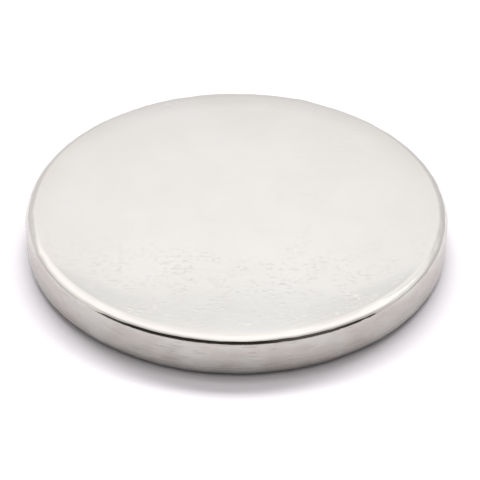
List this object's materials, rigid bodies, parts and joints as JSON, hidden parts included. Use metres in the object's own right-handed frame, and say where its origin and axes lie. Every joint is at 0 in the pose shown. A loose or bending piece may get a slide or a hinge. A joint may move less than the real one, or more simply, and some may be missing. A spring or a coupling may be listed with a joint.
{
  "type": "disc magnet",
  "caption": "Thin round permanent magnet with flat pole faces and rounded edges, plated in satin nickel, that holds on steel or sits in a round pocket.",
  "frame": {"origin": "centre of the lower pole face", "axes": "+Z along the disc's axis, from the lower pole face to the upper one; X and Y are any pair across the disc, which is the same all round"},
  "size_m": [0.018, 0.018, 0.002],
  "materials": {
    "nickel_plating": "satin nickel plating, fine orange-peel texture"
  },
  "bodies": {
    "root": {"disc_magnet": "nickel_plating"}
  },
  "joints": []
}
